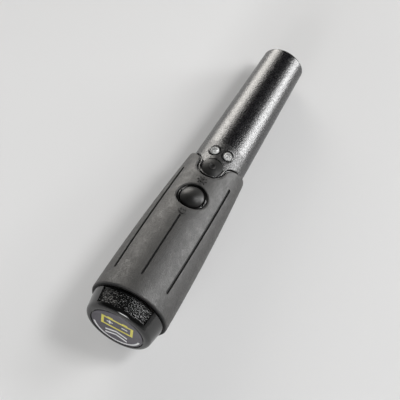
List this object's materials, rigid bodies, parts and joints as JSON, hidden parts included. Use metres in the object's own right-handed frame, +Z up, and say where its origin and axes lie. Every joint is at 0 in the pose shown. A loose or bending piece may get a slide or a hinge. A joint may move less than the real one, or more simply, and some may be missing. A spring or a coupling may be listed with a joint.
{
  "type": "handheld metal detector",
  "caption": "Pinpointing metal detector: tapered round probe on a rubber-sleeved handle with push buttons, lamps in the collar and a pull-off battery cap.",
  "frame": {"origin": "under the middle of the whole length, on the plane that the grip sleeve's rear rim touches when the detector's axis is level", "axes": "+X along the axis from the battery cap to the probe's tip, +Z up through the buttons"},
  "size_m": [0.2, 0.0444, 0.0444],
  "materials": {
    "probe_plastic": "black, fine-grained, satin",
    "shell_plastic": "black, smooth satin",
    "sleeve_rubber": "dark grey, matte moulded",
    "button_rubber": "black, smooth",
    "lamp_clear": "water-clear lens",
    "cap_plastic": "black, semi-gloss with spark-eroded finger panels",
    "label_film": "printed film",
    "seal_rubber": "black",
    "pad_foam": "foam",
    "battery_case": "plain printed case",
    "steel": "plated",
    "can_aluminium": "drawn can",
    "brass": "turned",
    "ferrite": "sintered, dark grey",
    "former_plastic": "natural nylon",
    "switch_plastic": "black",
    "board_green": "solder mask",
    "copper_wire": "enamelled copper",
    "lead_insulation": "insulated wire"
  },
  "bodies": {
    "handle": {"probe_tube": "probe_plastic", "upper_shell": "shell_plastic", "lower_shell": "shell_plastic", "shell_screws": "steel", "grip_sleeve": "sleeve_rubber", "power_switch": "switch_plastic", "light_switch": "switch_plastic", "lamp_leds": "lamp_clear", "lamp_leads": "steel", "circuit_board": "board_green", "board_screws": "steel", "control_chip": "switch_plastic", "capacitors": "can_aluminium", "buzzer": "switch_plastic", "vibration_motor": "steel", "motor_clip": "switch_plastic", "ferrite_core": "ferrite", "coil_former": "former_plastic", "transmit_winding": "copper_wire", "receive_winding": "copper_wire", "coil_leads": "copper_wire", "battery": "battery_case", "battery_terminals": "steel", "battery_snap": "switch_plastic", "battery_tube": "former_plastic", "battery_leads": "lead_insulation"},
    "power_button": {"power_button": "button_rubber", "power_plunger": "switch_plastic"},
    "light_button": {"light_button": "button_rubber", "light_plunger": "switch_plastic"},
    "battery_cap": {"battery_cap": "cap_plastic", "cap_seal": "seal_rubber", "battery_pad": "pad_foam", "end_label": "label_film"},
    "motor_weight": {"motor_shaft": "steel", "motor_weight": "brass"}
  },
  "joints": [
    {"name": "power_press", "type": "slide", "parent": "handle", "child": "power_button", "axis": [0, 0, -1], "range_m": [0, 0.0005], "stiffness_N_per_m": 400, "springref_m": -0.002},
    {"name": "light_press", "type": "slide", "parent": "handle", "child": "light_button", "axis": [0, 0, -1], "range_m": [0, 0.0005], "stiffness_N_per_m": 400, "springref_m": -0.002},
    {"name": "cap_pull", "type": "slide", "parent": "handle", "child": "battery_cap", "axis": [-1, 0, 0], "range_m": [0, 0.03]},
    {"name": "weight_spin", "type": "hinge", "parent": "handle", "child": "motor_weight", "pos_m": [0.0117, 0, 0.0182], "axis": [1, 0, 0], "continuous": true}
  ]
}
